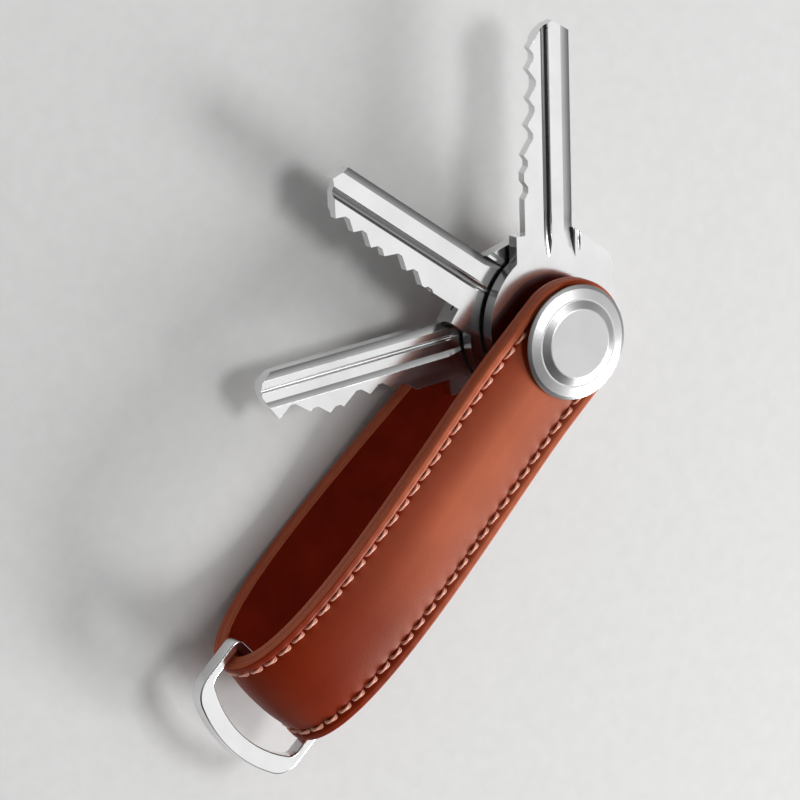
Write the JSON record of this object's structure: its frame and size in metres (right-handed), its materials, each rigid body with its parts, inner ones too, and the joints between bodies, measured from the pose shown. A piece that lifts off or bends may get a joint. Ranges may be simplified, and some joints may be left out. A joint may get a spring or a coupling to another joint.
{
  "type": "key case",
  "caption": "Folded leather strap that clamps a fan of keys on a locking post between its ends, with a D-ring hung in its fold.",
  "frame": {"origin": "middle of the front cap's flat top, on the post's axis", "axes": "+Z out of the front cap along the post, +Y from the fold towards the post's end of the strap, +X across the strap to the right seen from the front"},
  "size_m": [0.0569, 0.1124, 0.0202],
  "materials": {
    "outer_leather": "smooth satin cognac",
    "lining_leather": "matt dark brown",
    "thread": "waxed twist",
    "eyelet_metal": "aged",
    "satin_steel": "satin",
    "spring_steel": "blued",
    "washer_steel": "satin",
    "washer_plastic": "matt",
    "key_nickel": "polished nickel",
    "ring_steel": "satin"
  },
  "bodies": {
    "case": {"strap_outer": "outer_leather", "strap_lining": "lining_leather", "stitching_left": "thread", "stitching_right": "thread", "front_eyelet": "eyelet_metal", "rear_eyelet": "eyelet_metal", "front_cap": "satin_steel", "tension_spring": "spring_steel", "thrust_washer": "washer_steel", "key_washer_upper": "washer_plastic", "key_washer_lower": "washer_plastic", "rear_washer": "washer_steel"},
    "key_upper": {"key_upper": "key_nickel"},
    "key_middle": {"key_middle": "key_nickel"},
    "key_lower": {"key_lower": "key_nickel"},
    "lock_screw": {"lock_screw": "satin_steel"},
    "d_ring": {"d_ring": "ring_steel"}
  },
  "joints": [
    {"name": "key_upper_swing", "type": "hinge", "parent": "case", "child": "key_upper", "pos_m": [0, 0, -0.00755], "axis": [0, 0, 1], "range_deg": [-227.2, 132.8]},
    {"name": "key_middle_swing", "type": "hinge", "parent": "case", "child": "key_middle", "pos_m": [0, 0, -0.01015], "axis": [0, 0, 1], "range_deg": [-281.4, 78.6]},
    {"name": "key_lower_swing", "type": "hinge", "parent": "case", "child": "key_lower", "pos_m": [0, 0, -0.01275], "axis": [0, 0, 1], "range_deg": [-322, 38]},
    {"name": "lock_screw_turn", "type": "hinge", "parent": "case", "child": "lock_screw", "pos_m": [0, 0, -0.0185], "axis": [0, 0, -1], "range_deg": [0, 180]},
    {"name": "d_ring_swing", "type": "hinge", "parent": "case", "child": "d_ring", "pos_m": [0, -0.06642, -0.0094], "axis": [1, 0, 0], "range_deg": [-75, 75]}
  ]
}
